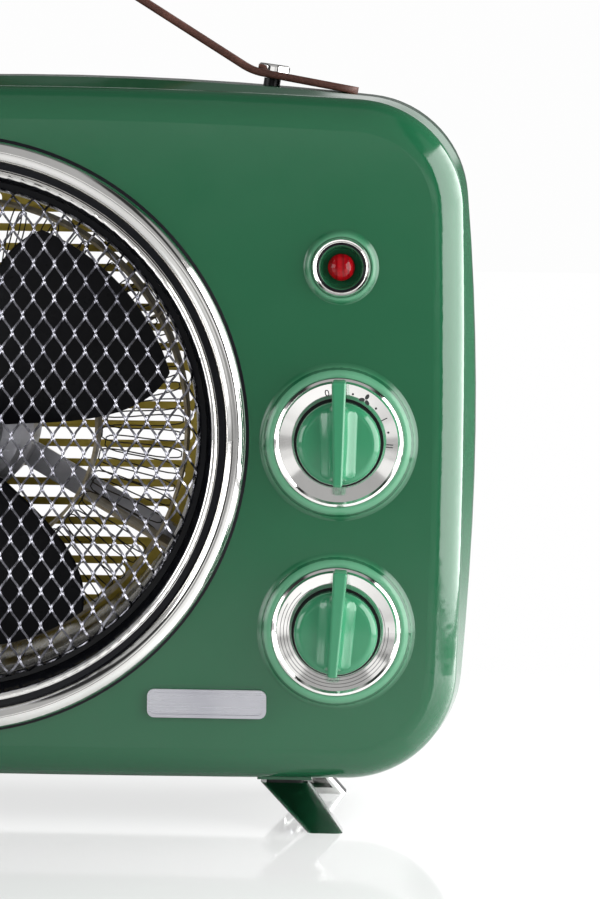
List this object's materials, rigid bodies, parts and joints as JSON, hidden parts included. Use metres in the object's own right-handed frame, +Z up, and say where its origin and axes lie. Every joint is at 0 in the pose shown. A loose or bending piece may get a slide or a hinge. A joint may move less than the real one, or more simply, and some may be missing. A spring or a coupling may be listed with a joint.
{
  "type": "fan heater",
  "caption": "Free-standing fan heater with a bowed casing, round mesh grille, selector and thermostat knobs, pilot lamp, strap handle and splayed feet.",
  "frame": {"origin": "on the floor under the middle of the heater's overall box", "axes": "+Z up, -Y out of the front face with the knobs, +X to the right seen from the front"},
  "size_m": [0.303, 0.129, 0.2905],
  "materials": {
    "green_casing": "glossy green",
    "green_knob": "glossy green",
    "chrome_trim": "bright plating",
    "chrome_feet": "bright plating",
    "black_collar": "glossy black",
    "steel_mesh": "expanded steel, bright",
    "plated_duct": "plated sheet",
    "gold_grille": "yellow passivated sheet",
    "motor_steel": "machined",
    "zinc_screws": "zinc plated",
    "mica": "mica board",
    "element_alloy": "dark oxidised alloy",
    "ceramic_black": "moulded thermoset",
    "black_plastic": "moulded",
    "black_rubber": "matt",
    "red_lens": "clear red, domed",
    "satin_plate": "satin, bare",
    "brown_leather": "smooth dark brown",
    "fan_plastic": "satin dark grey"
  },
  "bodies": {
    "casing": {"front_shell": "green_casing", "rear_shell": "green_casing", "grille_ring": "chrome_trim", "inner_collar": "black_collar", "mesh_grille": "steel_mesh", "air_duct": "plated_duct", "rear_grille": "gold_grille", "motor_body": "motor_steel", "motor_bracket": "motor_steel", "bracket_screws": "zinc_screws", "mica_frame": "mica", "heater_ribbon_front": "element_alloy", "heater_ribbon_rear": "element_alloy", "thermal_cutout": "ceramic_black", "selector_switch": "ceramic_black", "thermostat_body": "ceramic_black", "selector_dial": "chrome_trim", "thermostat_dial": "chrome_trim", "lamp_holder": "black_plastic", "lamp_bezel": "chrome_trim", "lamp_lens": "red_lens", "front_plate": "satin_plate", "strap_handle": "brown_leather", "strap_posts": "black_plastic", "strap_studs": "chrome_trim", "front_left_foot": "chrome_feet", "front_right_foot": "chrome_feet", "rear_left_foot": "chrome_feet", "rear_right_foot": "chrome_feet", "foot_washers": "black_rubber", "foot_screws": "zinc_screws", "casing_screws": "zinc_screws", "cord_gland": "black_rubber", "terminal_block": "black_plastic", "tip_switch": "black_plastic"},
    "fan": {"impeller": "fan_plastic", "motor_shaft": "motor_steel", "impeller_clip": "zinc_screws"},
    "selector": {"selector_knob": "green_knob", "selector_spindle": "motor_steel"},
    "thermostat": {"thermostat_knob": "green_knob", "thermostat_spindle": "motor_steel"}
  },
  "joints": [
    {"name": "fan_spin", "type": "hinge", "parent": "casing", "child": "fan", "pos_m": [-0.0263, 0, 0.1327], "axis": [0, 1, 0], "continuous": true},
    {"name": "selector_turn", "type": "hinge", "parent": "casing", "child": "selector", "pos_m": [0.1046, -0.05, 0.1325], "axis": [0, 1, 0], "range_deg": [0, 93]},
    {"name": "thermostat_turn", "type": "hinge", "parent": "casing", "child": "thermostat", "pos_m": [0.1046, -0.05, 0.0689], "axis": [0, 1, 0], "range_deg": [-3.6, 286.4]}
  ]
}
